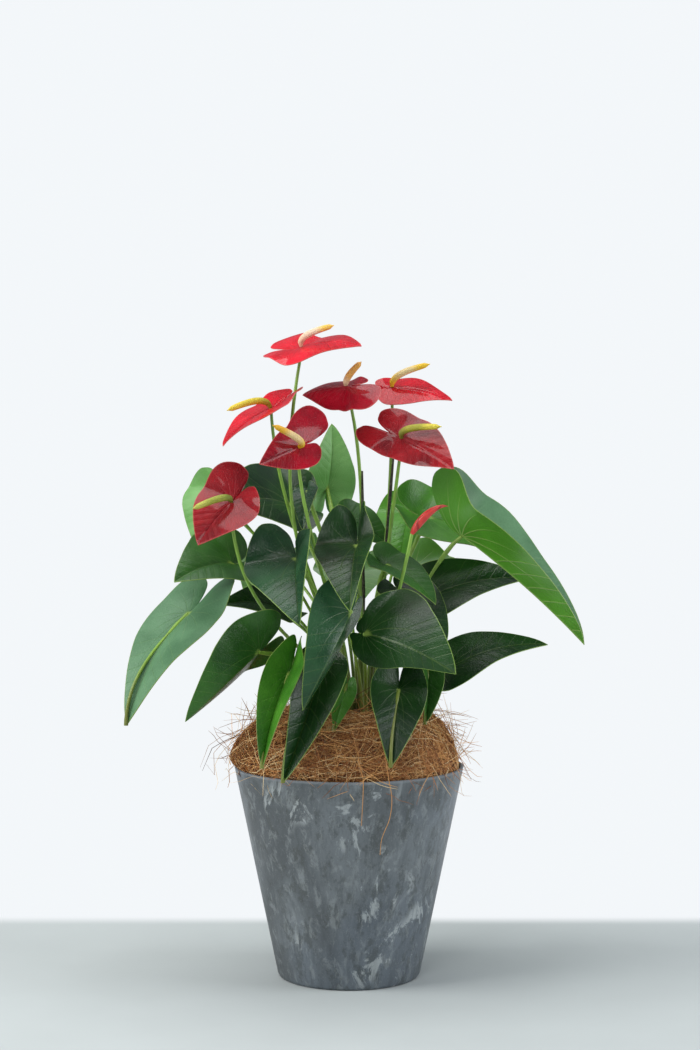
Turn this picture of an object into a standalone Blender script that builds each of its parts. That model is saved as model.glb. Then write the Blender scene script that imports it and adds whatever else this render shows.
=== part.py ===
"""Potted anthurium in a tapered faux-stone planter. Metres, +Z up, origin under the centre of the pot."""

import math

import bpy
import numpy as np
from mathutils import Vector

# Driving dimensions
POT_HEIGHT = 0.258
RIM_RADIUS = 0.140
BASE_RADIUS = 0.0865
WALL = 0.005
FLOOR = 0.007
EDGE_ROUND = 0.0022
GAP = 0.0004
SOIL_TOP = 0.222

CROWN_CENTRE = Vector((0.020, 0.0, 0.0))
CROWN_TOP = 0.326
CROWN_RADIUS = 0.046
SPOT_SPACING = 0.0092
SPOT_PULL = 0.20

BLADE_THICK = 0.0014
SPATHE_THICK = 0.0012
PETIOLE_RADIUS = 0.0021
KNUCKLE_RADIUS = 0.0031
STEM_RADIUS = 0.0023
SPADIX_RADIUS = 0.0040
STAKE_RADIUS = 0.0018

POT_SIDES = 36
SPOKES = 10  # on each side of a blade's midrib
RINGS = (0.5, 1.0)

# Distance from the junction to the edge of a heart-shaped sheet of length 1, by angle from the tip
LEAF_HEART = (
    (0, 1.0), (14, 0.76), (30, 0.60), (50, 0.51), (75, 0.455),
    (105, 0.43), (135, 0.42), (160, 0.37), (173, 0.26), (180, 0.10),
)
SPATHE_HEART = (
    (0, 1.0), (14, 0.84), (30, 0.73), (50, 0.66), (75, 0.62),
    (105, 0.60), (135, 0.60), (160, 0.55), (173, 0.42), (180, 0.18),
)

MATERIALS = {
    "faux_stone": ((0.16, 0.18, 0.20), 0.55),
    "soil": ((0.05, 0.035, 0.025), 0.95),
    "coir": ((0.42, 0.20, 0.08), 0.90),
    "woody_crown": ((0.16, 0.10, 0.05), 0.85),
    "leaf_green": ((0.02, 0.10, 0.03), 0.35),
    "stem_green": ((0.16, 0.34, 0.05), 0.45),
    "spathe_red": ((0.62, 0.01, 0.02), 0.25),
    "spadix_yellow": ((0.90, 0.62, 0.05), 0.55),
    "stake_bark": ((0.05, 0.05, 0.03), 0.80),
}

# joint and tip of a blade, and the way its upper side faces. wide is half the width over the length.
# halves scale the width, lobes the rounded back, fold and curl bend it: each for the (left, right) half,
# seen from above with the tip away, fold in degrees and curl in 1/metre.
# arch bows the midrib and lift raises the two lobes, in degrees.
# via bends the stalk on its way to the joint.
LEAF_PLAIN = dict(heart=LEAF_HEART, wide=0.42, fold=(14, 14), curl=(-3, -3), arch=0.10, lift=25,
                  lobes=(1.0, 1.0), halves=(1.0, 1.0))
LEAVES = {
    "leaf_01": dict(joint=(-0.193, -0.050, 0.447), tip=(-0.262, -0.110, 0.321), face=(-0.45, -0.70, 0.55),
                    wide=0.27, halves=(1.3, 1.0), lift=10, lobes=(1.15, 1.0)),
    "leaf_02": dict(joint=(-0.105, -0.120, 0.408), tip=(-0.188, -0.170, 0.333), face=(0.0, -1.0, 0.05),
                    wide=0.38, fold=(-80, 15)),
    "leaf_03": dict(joint=(-0.073, 0.075, 0.572), tip=(-0.160, 0.0, 0.572), face=(-0.20, -0.50, 0.80),
                    wide=0.52, halves=(0.8, 1.1), fold=(-25, 36), lobes=(0.9, 1.0)),
    "leaf_04": dict(joint=(-0.063, -0.075, 0.515), tip=(-0.056, -0.175, 0.443), face=(-0.15, -0.60, 0.80),
                    wide=0.46, halves=(0.75, 1.1), fold=(60, 5), lift=35, lobes=(0.5, 1.0)),
    "leaf_05": dict(joint=(0.009, -0.070, 0.530), tip=(0.001, -0.165, 0.460), face=(-0.10, -0.60, 0.80),
                    halves=(0.45, 1.0), fold=(25, 8), lift=45, lobes=(1.4, 1.0)),
    "leaf_06": dict(joint=(0.003, -0.135, 0.457), tip=(-0.053, -0.190, 0.348), face=(0.0, -1.0, 0.0),
                    wide=0.35, fold=(-75, 10), arch=0.18, lift=10, via=(-0.012, -0.115, 0.450)),
    "leaf_07": dict(joint=(0.018, -0.125, 0.430), tip=(0.122, -0.190, 0.390), face=(0.05, -0.80, 0.60),
                    wide=0.48, halves=(1.25, 0.6), fold=(8, -50), lobes=(0.4, 0.45)),
    "leaf_08": dict(joint=(0.046, -0.040, 0.505), tip=(0.103, -0.078, 0.460), face=(0.30, -0.50, 0.80),
                    wide=0.38, via=(0.030, 0.005, 0.480)),
    "leaf_09": dict(joint=(0.137, -0.010, 0.538), tip=(0.283, -0.030, 0.407), face=(0.67, 0.0, 0.75),
                    wide=0.38, fold=(62, 42), curl=(-6, -6), arch=0.03, via=(0.120, 0.0, 0.530)),
    "leaf_10": dict(joint=(0.098, 0.080, 0.557), tip=(0.207, 0.080, 0.500), face=(0.20, -0.60, 0.80),
                    via=(0.080, 0.105, 0.520)),
    "leaf_11": dict(joint=(0.094, 0.032, 0.459), tip=(0.222, 0.045, 0.483), face=(0.0, -0.60, 0.80),
                    wide=0.38, lobes=(0.55, 0.55)),
    "leaf_12": dict(joint=(0.116, -0.035, 0.378), tip=(0.240, -0.035, 0.410), face=(-0.10, -0.50, 0.85),
                    wide=0.29, fold=(20, 0)),
    "leaf_13": dict(joint=(0.058, -0.110, 0.362), tip=(0.048, -0.160, 0.279), face=(0.05, -0.95, 0.30),
                    wide=0.36, fold=(20, 20)),
    "leaf_14": dict(joint=(0.094, -0.060, 0.380), tip=(0.090, -0.080, 0.318), face=(0.30, -0.80, 0.20),
                    wide=0.34, fold=(50, 50)),
    "leaf_15": dict(joint=(-0.070, -0.140, 0.385), tip=(-0.100, -0.175, 0.280), face=(-0.30, -0.90, 0.20),
                    wide=0.26, fold=(45, 45)),
    "leaf_16": dict(joint=(-0.032, -0.110, 0.390), tip=(-0.076, -0.165, 0.262), face=(0.15, -0.98, 0.10),
                    wide=0.25, fold=(45, 30), lobes=(0.4, 0.4)),
    "leaf_17": dict(joint=(-0.005, -0.085, 0.358), tip=(-0.018, -0.110, 0.314), face=(0.0, -0.90, 0.30),
                    wide=0.28, via=(0.008, -0.045, 0.390)),
    "leaf_18": dict(joint=(-0.028, 0.150, 0.590), tip=(-0.022, 0.150, 0.674), face=(0.35, -0.90, 0.10),
                    wide=0.42),
    "leaf_19": dict(joint=(-0.052, 0.021, 0.592), tip=(-0.056, -0.020, 0.545), face=(-0.20, -0.50, 0.80),
                    wide=0.26, lift=38, lobes=(0.6, 0.6)),
    "leaf_20": dict(joint=(0.002, 0.065, 0.553), tip=(0.052, 0.070, 0.520), face=(0.10, -0.70, 0.70),
                    wide=0.48),
    "leaf_21": dict(joint=(0.077, 0.150, 0.556), tip=(0.062, 0.085, 0.490), face=(-0.10, -0.80, 0.45),
                    wide=0.45, fold=(40, 5)),
    "leaf_22": dict(joint=(0.062, -0.025, 0.474), tip=(0.116, -0.072, 0.414), face=(0.40, -0.70, 0.60),
                    lobes=(0.6, 0.6)),
    "leaf_23": dict(joint=(-0.143, -0.010, 0.505), tip=(-0.207, -0.080, 0.488), face=(-0.20, -0.85, 0.50),
                    wide=0.55),
    "leaf_24": dict(joint=(-0.085, 0.020, 0.448), tip=(-0.157, -0.010, 0.455), face=(-0.10, -0.60, 0.70)),
    "leaf_25": dict(joint=(-0.169, 0.085, 0.588), tip=(-0.187, 0.035, 0.521), face=(-0.30, -0.70, 0.60)),
    "leaf_26": dict(joint=(0.085, 0.180, 0.490), tip=(0.130, 0.270, 0.420), face=(0.20, 0.60, 0.80)),
    "leaf_27": dict(joint=(-0.085, 0.130, 0.500), tip=(-0.130, 0.235, 0.430), face=(-0.20, 0.60, 0.80),
                    wide=0.38),
    "leaf_28": dict(joint=(0.005, 0.170, 0.480), tip=(0.005, 0.280, 0.420), face=(0.0, 0.50, 0.80)),
}

SPATHE_PLAIN = dict(heart=SPATHE_HEART, wide=0.58, fold=(8, 8), curl=(-4, -4), arch=0.06, lift=12,
                    lobes=(1.0, 1.0), halves=(1.0, 1.0))
BLOOMS = {
    "bloom_1": dict(joint=(-0.057, -0.010, 0.767), tip=(0.015, -0.050, 0.768), face=(0.0, -0.50, 0.87),
                    wide=0.60, halves=(1.0, 0.9), fold=(-8, 2), lobes=(1.25, 1.0),
                    spadix=(-0.018, -0.030, 0.792), via=(-0.112, -0.015, 0.480)),
    "bloom_2": dict(joint=(-0.094, -0.030, 0.693), tip=(-0.150, -0.065, 0.648), face=(-0.49, -0.28, 0.83),
                    wide=0.50, spadix=(-0.145, -0.060, 0.690), via=(-0.090, 0.045, 0.550)),
    "bloom_3": dict(joint=(-0.004, 0.0, 0.720), tip=(-0.057, 0.015, 0.709), face=(0.10, -0.45, 0.88),
                    halves=(1.2, 0.8), fold=(-20, -8), lobes=(1.6, 0.9), spadix=(0.015, -0.012, 0.749),
                    via=(0.028, 0.045, 0.620)),
    "bloom_4": dict(joint=(0.053, 0.035, 0.719), tip=(0.126, 0.010, 0.703), face=(0.0, -0.45, 0.90),
                    wide=0.40, fold=(0, -14), lobes=(0.6, 0.5), spadix=(0.099, 0.020, 0.747)),
    "bloom_5": dict(joint=(-0.059, -0.092, 0.647), tip=(-0.104, -0.125, 0.628), face=(0.22, -0.97, 0.10),
                    wide=0.62, halves=(0.8, 0.74), fold=(26, 0), lift=0, lobes=(0.95, 2.1),
                    spadix=(-0.088, -0.142, 0.673), via=(-0.062, -0.080, 0.560)),
    "bloom_6": dict(joint=(0.063, -0.050, 0.657), tip=(0.123, -0.100, 0.621), face=(0.0, -0.80, 0.60),
                    wide=0.60, halves=(0.7, 0.55), fold=(8, -15), lift=12, lobes=(1.1, 1.4),
                    spadix=(0.109, -0.085, 0.671), via=(0.050, 0.005, 0.540)),
    "bloom_7": dict(joint=(-0.139, -0.080, 0.582), tip=(-0.177, -0.110, 0.533), face=(-0.35, -0.90, 0.25),
                    wide=0.58, lobes=(0.8, 1.35), spadix=(-0.183, -0.110, 0.575)),
}

BUD = dict(joint=(0.074, -0.090, 0.545), tip=(0.116, -0.100, 0.578), via=(0.050, -0.095, 0.420))
STAKES = {
    "stake_1": dict(top=(0.016, 0.000, 0.617)),
    "stake_2": dict(top=(0.055, 0.030, 0.639)),
}


def clear_scene():
    for old in list(bpy.data.objects):
        bpy.data.objects.remove(old, do_unlink=True)


def make_material(name):
    colour, roughness = MATERIALS[name]
    material = bpy.data.materials.new(name)
    material.use_nodes = True
    shader = material.node_tree.nodes["Principled BSDF"]
    shader.inputs["Base Color"].default_value = (*colour, 1.0)
    shader.inputs["Roughness"].default_value = roughness
    shader.inputs["Metallic"].default_value = 0.0
    return material


def add_object(name, mesh, material):
    mesh.shade_smooth()
    mesh.set_sharp_from_angle(angle=math.radians(40))
    obj = bpy.data.objects.new(name, mesh)
    bpy.context.collection.objects.link(obj)
    if material:
        mesh.materials.append(material)
    return obj


def mesh_from(name, points, faces):
    mesh = bpy.data.meshes.new(name)
    mesh.from_pydata([tuple(p) for p in points], [], faces)
    mesh.update()
    return mesh


def turned(name, profile, sides, material):
    """A solid of revolution round Z. The profile runs from the bottom pole up the outside to the top pole."""
    points = [Vector((0.0, 0.0, profile[0][1]))]
    for radius, height in profile[1:-1]:
        for k in range(sides):
            turn = 2.0 * math.pi * k / sides
            points.append(Vector((radius * math.cos(turn), radius * math.sin(turn), height)))
    points.append(Vector((0.0, 0.0, profile[-1][1])))
    last = len(points) - 1
    faces = []
    for k in range(sides):
        after = (k + 1) % sides
        faces.append((0, 1 + after, 1 + k))
        for row in range(len(profile) - 3):
            low = 1 + row * sides
            high = low + sides
            faces.append((low + k, low + after, high + after, high + k))
        top = last - sides
        faces.append((top + k, top + after, last))
    return add_object(name, mesh_from(name, points, faces), material)


def heart_reach(heart, angle):
    """Smooth reach of a heart outline at an angle from the tip, in degrees."""
    angles = [a for a, _ in heart]
    reaches = [r for _, r in heart]
    slopes = np.gradient(reaches, angles)
    slopes[-1] = slopes[-2]
    k = min(int(np.searchsorted(angles, angle, side="right")) - 1, len(angles) - 2)
    span = angles[k + 1] - angles[k]
    u = (angle - angles[k]) / span
    start = (1 + 2 * u) * (1 - u) ** 2 * reaches[k] + u * (1 - u) ** 2 * span * slopes[k]
    end = u * u * (3 - 2 * u) * reaches[k + 1] + u * u * (u - 1) * span * slopes[k + 1]
    return start + end


def smooth_step(value):
    value = max(0.0, min(1.0, value))
    return value * value * (3.0 - 2.0 * value)


class Blade:
    """A heart-shaped sheet bent along its midrib, folded and curled to each side."""

    def __init__(self, spec):
        self.joint = Vector(spec["joint"])
        self.tip = Vector(spec["tip"])
        self.spec = spec
        chord = self.tip - self.joint
        self.length = chord.length
        face = Vector(spec["face"])
        face -= chord * (face.dot(chord) / chord.length_squared)
        self.face = face.normalized()
        self.middle = (self.joint + self.tip) / 2 + self.face * spec["arch"] * 2.0 * self.length

    def midrib(self, along):
        """Point, upper normal and left side of the midrib at a share of its length."""
        t = max(along, 0.0)
        point = self.joint * (1 - t) ** 2 + self.middle * 2 * t * (1 - t) + self.tip * t * t
        heading = (self.middle - self.joint) * (1 - t) + (self.tip - self.middle) * t
        heading.normalize()
        if along < 0.0:
            point = point + heading * along * self.length
        normal = self.face - heading * self.face.dot(heading)
        normal.normalize()
        return point, normal, normal.cross(heading)

    def at(self, along, across):
        """Bent position of a flat point, given in shares of the length. across is positive to the left."""
        point, normal, side = self.midrib(along)
        hand = 0 if across >= 0 else 1
        sign = 1.0 if across >= 0 else -1.0
        out = abs(across) * self.length
        lobe = smooth_step(-along / 0.30)
        slope = math.radians(self.spec["fold"][hand] + self.spec["lift"] * lobe)
        curl = self.spec["curl"][hand]
        if abs(curl) * out < 1e-6:
            flat, rise = out * math.cos(slope), out * math.sin(slope)
        else:
            flat = (math.sin(slope + curl * out) - math.sin(slope)) / curl
            rise = (math.cos(slope) - math.cos(slope + curl * out)) / curl
        back = max(-along, 0.0) * self.length
        lift = math.radians(self.spec["lift"]) * lobe
        return point + side * sign * flat + normal * (rise + back * math.sin(lift) * 0.6)


def spoke_angles():
    half = [180.0 * (0.5 - 0.5 * math.cos(math.pi * k / SPOKES)) ** 0.8 for k in range(SPOKES + 1)]
    return half + [-a for a in reversed(half[1:-1])]


def blade_mesh(name, spec):
    """The sheet of one blade, as a fan of spokes round its junction."""
    blade = Blade(spec)
    angles = spoke_angles()
    hands = [0 if a >= 0.0 else 1 for a in angles]
    outline = [heart_reach(spec["heart"], abs(a)) for a in angles]
    half_width = max(r * math.sin(math.radians(a)) for r, a in zip(outline, angles))
    widths = [share * spec["wide"] / half_width for share in spec["halves"]]
    for k, angle in enumerate(angles):
        outline[k] *= 1.0 + (spec["lobes"][hands[k]] - 1.0) * smooth_step((abs(angle) - 80.0) / 60.0)
    points = [blade.at(0.0, 0.0)]
    for ring in RINGS:
        for edge, angle, hand in zip(outline, angles, hands):
            reach = edge * ring
            along = reach * math.cos(math.radians(angle))
            across = reach * math.sin(math.radians(angle)) * widths[hand]
            points.append(blade.at(along, across))
    count = len(angles)
    faces = []
    for k in range(count):
        after = (k + 1) % count
        faces.append((0, 1 + k, 1 + after))
        for row in range(len(RINGS) - 1):
            low = 1 + row * count
            high = low + count
            faces.append((low + k, high + k, high + after, low + after))
    return mesh_from(name, points, faces)


def bezier(p0, p1, p2, p3, steps):
    points = []
    for k in range(steps + 1):
        t = k / steps
        points.append(p0 * (1 - t) ** 3 + p1 * 3 * t * (1 - t) ** 2 + p2 * 3 * t * t * (1 - t) + p3 * t ** 3)
    return points


def tube_mesh(name, path, radii, sides):
    """A round rod along a path, with a radius at each point and flat ends."""
    points = []
    heading = (path[1] - path[0]).normalized()
    side = heading.orthogonal().normalized()
    for k, centre in enumerate(path):
        before = path[max(k - 1, 0)]
        after = path[min(k + 1, len(path) - 1)]
        heading = (after - before).normalized()
        side = (side - heading * side.dot(heading)).normalized()
        other = heading.cross(side)
        for n in range(sides):
            turn = 2.0 * math.pi * n / sides
            points.append(centre + (side * math.cos(turn) + other * math.sin(turn)) * radii[k])
    faces = [tuple(reversed(range(sides)))]
    for k in range(len(path) - 1):
        for n in range(sides):
            after = (n + 1) % sides
            low = k * sides
            faces.append((low + n, low + after, low + sides + after, low + sides + n))
    faces.append(tuple(range((len(path) - 1) * sides, len(path) * sides)))
    return mesh_from(name, points, faces)


def crown_spots(tops):
    """Where each stem leaves the crown: under its own top, drawn in, then eased apart from the others."""
    names = list(tops)
    spots = [(Vector(tops[n]).to_2d() - CROWN_CENTRE.to_2d()) * SPOT_PULL for n in names]
    limit = CROWN_RADIUS - PETIOLE_RADIUS * 2.0
    for _ in range(400):
        for i in range(len(spots)):
            for j in range(i):
                apart = spots[i] - spots[j]
                short = SPOT_SPACING - apart.length
                if short > 0.0:
                    push = apart.normalized() * short * 0.5 if apart.length > 1e-6 else Vector((short, 0.0))
                    spots[i] += push
                    spots[j] -= push
        spots = [s * min(1.0, limit / max(s.length, 1e-9)) for s in spots]
    return {n: Vector((s.x, s.y, CROWN_TOP + GAP)) + CROWN_CENTRE for n, s in zip(names, spots)}


def from_crown(path):
    """Makes a stalk leave the crown straight up, so that its foot is level."""
    return [path[0], path[0] + Vector((0.0, 0.0, 0.004))] + path[1:]


def petiole_path(spot, joint, via):
    """From the crown straight up, then bending over to the blade."""
    reach = joint - spot
    span = reach.length
    arrive = (reach + Vector((0.0, 0.0, -0.35 * span))).normalized()
    bend = Vector(via) if via else joint - arrive * 0.30 * span
    return from_crown(bezier(spot, spot + Vector((0.0, 0.0, 0.40 * span)), bend, joint, 6))


def make_leaf(name, spec, spot, materials):
    spec = {**LEAF_PLAIN, **spec}
    leaf = add_object(name, blade_mesh(name, spec), materials["leaf_green"])
    thick = leaf.modifiers.new("thickness", "SOLIDIFY")
    thick.thickness = BLADE_THICK
    thick.offset = 0.0
    path = petiole_path(spot, Vector(spec["joint"]), spec.get("via"))
    ends = path[-1] - path[-2]
    path[-1:] = [path[-1] - ends.normalized() * 0.009, path[-1] - ends.normalized() * 0.004]
    path.append(path[-1] + ends.normalized() * 0.0055)
    radii = [PETIOLE_RADIUS] * (len(path) - 2) + [KNUCKLE_RADIUS, KNUCKLE_RADIUS * 0.7]
    petiole = add_object(name + "_petiole", tube_mesh(name + "_petiole", path, radii, 6), None)
    petiole.hide_render = True
    petiole.display_type = "WIRE"
    join = leaf.modifiers.new("petiole", "BOOLEAN")
    join.operation = "UNION"
    join.solver = "MANIFOLD"  # both are closed, and EXACT drops the blade of some leaves
    join.object = petiole
    return leaf


def make_spadix(name, spec, blade, material):
    """A blunt tapering rod that rises from the spathe's face."""
    _, normal, _ = blade.midrib(0.0)
    base = blade.joint + normal * 0.0022
    tip = Vector(spec["spadix"])
    lean = (tip - base).length
    path = bezier(base, base + normal * lean * 0.30, tip - (tip - base) * 0.35 + normal * lean * 0.10, tip, 6)
    radii = [SPADIX_RADIUS * share for share in (0.35, 0.85, 1.0, 1.0, 0.95, 0.85, 0.45)]
    return add_object(name, tube_mesh(name, path, radii, 8), material)


def make_bloom(name, spec, spot, materials):
    spec = {**SPATHE_PLAIN, **spec}
    blade = Blade(spec)
    spathe = add_object(name + "_spathe", blade_mesh(name + "_spathe", spec), materials["spathe_red"])
    thick = spathe.modifiers.new("thickness", "SOLIDIFY")
    thick.thickness = SPATHE_THICK
    thick.offset = 0.0
    make_spadix(name + "_spadix", spec, blade, materials["spadix_yellow"])
    _, normal, _ = blade.midrib(0.0)
    top = blade.joint - normal * 0.0030
    span = (top - spot).length
    bend = Vector(spec["via"]) if "via" in spec else top - Vector((0.0, 0.0, 0.55 * span))
    path = from_crown(bezier(spot, spot + Vector((0.0, 0.0, 0.25 * span)), bend, top, 9))
    radii = [STEM_RADIUS] * (len(path) - 1) + [STEM_RADIUS * 0.55]
    add_object(name + "_stem", tube_mesh(name + "_stem", path, radii, 6), materials["stem_green"])


def make_bud(spot, materials):
    base = Vector(BUD["joint"])
    tip = Vector(BUD["tip"])
    span = (base - spot).length
    top = base - (tip - base).normalized() * GAP * 3.0
    path = from_crown(bezier(spot, spot + Vector((0.0, 0.0, 0.30 * span)), Vector(BUD["via"]), top, 8))
    radii = [STEM_RADIUS * 0.85] * len(path)
    add_object("bud_stem", tube_mesh("bud_stem", path, radii, 6), materials["stem_green"])
    rise = Vector((0.0, 0.0, 0.012))
    roll = bezier(base, base + (tip - base) * 0.3 + rise, base + (tip - base) * 0.7 + rise, tip, 6)
    radii = [0.0024, 0.0042, 0.0048, 0.0046, 0.0038, 0.0026, 0.0010]
    add_object("bud_spathe", tube_mesh("bud_spathe", roll, radii, 8), materials["spathe_red"])


def make_planter(material):
    slope = (RIM_RADIUS - BASE_RADIUS) / POT_HEIGHT
    inner_base = BASE_RADIUS - WALL + slope * FLOOR
    inner_rim = RIM_RADIUS - WALL
    lip = EDGE_ROUND
    profile = [
        (0.0, 0.0),
        (BASE_RADIUS - lip * 1.6, 0.0),
        (BASE_RADIUS - lip * 0.4, lip * 0.5),
        (BASE_RADIUS + slope * lip * 2.0, lip * 2.0),
        (RIM_RADIUS - slope * lip, POT_HEIGHT - lip),
        (RIM_RADIUS - lip * 0.35, POT_HEIGHT - lip * 0.3),
        (RIM_RADIUS - WALL * 0.5, POT_HEIGHT),
        (inner_rim + lip * 0.25, POT_HEIGHT - lip * 0.3),
        (inner_rim - slope * lip, POT_HEIGHT - lip),
        (inner_base, FLOOR),
        (0.0, FLOOR),
    ]
    return turned("planter", profile, POT_SIDES, material)


def wall_inside(height):
    """Inner radius of the planter at a height."""
    slope = (RIM_RADIUS - BASE_RADIUS) / POT_HEIGHT
    return BASE_RADIUS - WALL + slope * height


def make_soil(material):
    bottom = FLOOR + GAP
    radius_low = wall_inside(bottom) - GAP * 2.5
    radius_top = wall_inside(SOIL_TOP) - GAP * 2.5
    profile = [(0.0, bottom), (radius_low, bottom), (radius_top, SOIL_TOP), (0.0, SOIL_TOP)]
    return turned("potting_soil", profile, POT_SIDES, material)


def make_crown(material):
    bottom = SOIL_TOP + GAP
    profile = [
        (0.0, bottom),
        (CROWN_RADIUS * 0.80, bottom),
        (CROWN_RADIUS * 0.90, bottom + 0.04),
        (CROWN_RADIUS, CROWN_TOP - 0.012),
        (CROWN_RADIUS * 0.97, CROWN_TOP),
        (0.0, CROWN_TOP),
    ]
    crown = turned("root_crown", profile, 18, material)
    crown.location = CROWN_CENTRE
    return crown


def make_coir(material):
    """A ring-shaped mound round the crown, lumpy on top, that spills over the rim on one side."""
    sides = 36
    bottom = SOIL_TOP + GAP
    points = []
    for k in range(sides):
        turn = 2.0 * math.pi * k / sides
        out = Vector((math.cos(turn), math.sin(turn), 0.0))
        lump = 0.5 * math.sin(3 * turn + 0.6) + 0.3 * math.sin(7 * turn + 2.0) + 0.2 * math.sin(11 * turn)
        spill = smooth_step((math.cos(turn - math.radians(190)) - 0.2) / 0.8)
        inside = CROWN_CENTRE + out * (CROWN_RADIUS + 0.0015)
        edge = wall_inside(POT_HEIGHT) - 0.003
        section = [
            inside + Vector((0.0, 0.0, bottom)),
            out * (wall_inside(bottom) - 0.002) + Vector((0.0, 0.0, bottom)),
            out * edge + Vector((0.0, 0.0, POT_HEIGHT + 0.001)),
            out * (edge + 0.014 * spill) + Vector((0.0, 0.0, POT_HEIGHT + 0.002 + 0.004 * spill)),
            out * (edge + 0.013 * spill - 0.003) + Vector((0.0, 0.0, POT_HEIGHT + 0.020)),
            out * (0.118 + 0.008 * spill + 0.002 * lump) + Vector((0.0, 0.0, 0.303 + 0.002 * lump)),
            out * (0.092 + 0.003 * lump) + Vector((0.0, 0.0, 0.322 + 0.003 * lump)),
            inside + out * 0.006 + Vector((0.0, 0.0, 0.328 + 0.001 * lump)),
            inside + Vector((0.0, 0.0, 0.324)),
        ]
        points.extend(section)
    rows = len(section)
    faces = []
    for k in range(sides):
        after = (k + 1) % sides
        for row in range(rows):
            above = (row + 1) % rows
            faces.append((k * rows + row, after * rows + row, after * rows + above, k * rows + above))
    mesh = mesh_from("coir_dressing", points, faces)
    return add_object("coir_dressing", mesh, material)


def main():
    clear_scene()
    materials = {name: make_material(name) for name in MATERIALS}
    make_planter(materials["faux_stone"])
    make_soil(materials["soil"])
    make_crown(materials["woody_crown"])
    make_coir(materials["coir"])
    tops = {name: spec["joint"] for name, spec in {**LEAVES, **BLOOMS, "bud": BUD}.items()}
    tops.update({name: spec["top"] for name, spec in STAKES.items()})
    spots = crown_spots(tops)
    for name, spec in LEAVES.items():
        make_leaf(name, spec, spots[name], materials)
    for name, spec in BLOOMS.items():
        make_bloom(name, spec, spots[name], materials)
    make_bud(spots["bud"], materials)
    for name, spec in STAKES.items():
        path = from_crown([spots[name].lerp(Vector(spec["top"]), k / 3) for k in range(4)])
        add_object(name, tube_mesh(name, path, [STAKE_RADIUS] * len(path), 6), materials["stake_bark"])


main()
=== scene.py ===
# Potted anthurium in a faux-stone planter: the visible model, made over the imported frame.
import math
import random

import bpy
import numpy as np
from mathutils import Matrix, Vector
from mathutils.bvhtree import BVHTree


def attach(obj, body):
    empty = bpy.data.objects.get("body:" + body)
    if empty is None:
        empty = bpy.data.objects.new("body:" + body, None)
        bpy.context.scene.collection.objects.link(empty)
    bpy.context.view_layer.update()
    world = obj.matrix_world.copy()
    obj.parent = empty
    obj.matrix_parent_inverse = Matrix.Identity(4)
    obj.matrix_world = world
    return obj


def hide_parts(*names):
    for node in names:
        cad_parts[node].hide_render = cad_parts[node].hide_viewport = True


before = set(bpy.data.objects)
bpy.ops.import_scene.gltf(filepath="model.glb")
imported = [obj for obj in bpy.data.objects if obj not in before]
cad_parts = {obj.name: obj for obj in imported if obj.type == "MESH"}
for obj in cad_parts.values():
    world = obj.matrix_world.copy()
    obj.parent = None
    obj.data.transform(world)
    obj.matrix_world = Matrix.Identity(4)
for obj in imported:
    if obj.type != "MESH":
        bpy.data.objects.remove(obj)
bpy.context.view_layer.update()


def deselectAll():
    if bpy.context.object and bpy.context.object.mode != "OBJECT":
        bpy.ops.object.mode_set(mode="OBJECT")
    bpy.ops.object.select_all(action="DESELECT")


def activate(piece):
    deselectAll()
    piece.select_set(True)
    bpy.context.view_layer.objects.active = piece


def openForEditing():
    bpy.ops.object.mode_set(mode="EDIT")
    bpy.ops.mesh.select_all(action="SELECT")


def closeWithSkinOut():
    bpy.ops.mesh.select_all(action="SELECT")
    bpy.ops.mesh.normals_make_consistent(inside=False)
    bpy.ops.object.mode_set(mode="OBJECT")


def applyModifiers(piece):
    activate(piece)
    for modifier in list(piece.modifiers):
        bpy.ops.object.modifier_apply(modifier=modifier.name)


def smoothShade(piece, angle=60):
    activate(piece)
    bpy.ops.object.shade_smooth_by_angle(angle=math.radians(angle))


def smoothStep(value):
    value = max(0.0, min(1.0, value))
    return value * value * (3.0 - 2.0 * value)


def pieceFrom(name, mesh):
    mesh.name = name
    piece = bpy.data.objects.new(name, mesh)
    bpy.context.collection.objects.link(piece)
    return piece


def settle(piece, slot, *nodes):
    # the piece belongs to the frame's only body and stands for its nodes
    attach(piece, "root")
    if nodes:
        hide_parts(*nodes)


def newMaterial(name):
    material = bpy.data.materials.new(name)
    material.use_nodes = True
    return material, material.node_tree, material.node_tree.nodes["Principled BSDF"]


def join(tree, source, socket):
    if hasattr(source, "is_output"):
        tree.links.new(source, socket)
    else:
        socket.default_value = source


def calc(tree, operation, *values):
    node = tree.nodes.new("ShaderNodeMath")
    node.operation = operation
    for k, value in enumerate(values):
        join(tree, value, node.inputs[k])
    return node.outputs[0]


def times(tree, first, second):
    return calc(tree, "MULTIPLY", first, second)


def timesPlus(tree, first, second, added):
    return calc(tree, "MULTIPLY_ADD", first, second, added)


def distance(tree, x, y):
    return calc(tree, "SQRT", calc(tree, "ADD", times(tree, x, x), times(tree, y, y)))


def fade(tree, value, start, end):
    # 0 at start, 1 at end, and smooth between, whichever of the two is larger
    node = tree.nodes.new("ShaderNodeMapRange")
    node.interpolation_type = "SMOOTHSTEP"
    first, last = (0.0, 1.0) if end > start else (1.0, 0.0)
    settings = {"Value": value, "From Min": min(start, end), "From Max": max(start, end),
                "To Min": first, "To Max": last}
    for name, setting in settings.items():
        join(tree, setting, node.inputs[name])
    return node.outputs["Result"]


def blendColour(tree, amount, first, second):
    node = tree.nodes.new("ShaderNodeMix")
    node.data_type = "RGBA"
    join(tree, amount, node.inputs[0])
    for value, socket in ((first, node.inputs[6]), (second, node.inputs[7])):
        join(tree, value if hasattr(value, "is_output") else (*value, 1.0), socket)
    return node.outputs[2]


def tinge(tree, colour, mask, strength, tint):
    return blendColour(tree, times(tree, mask, strength), colour, tint)


def toned(colour, share):
    return tuple(part * share for part in colour)


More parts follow.
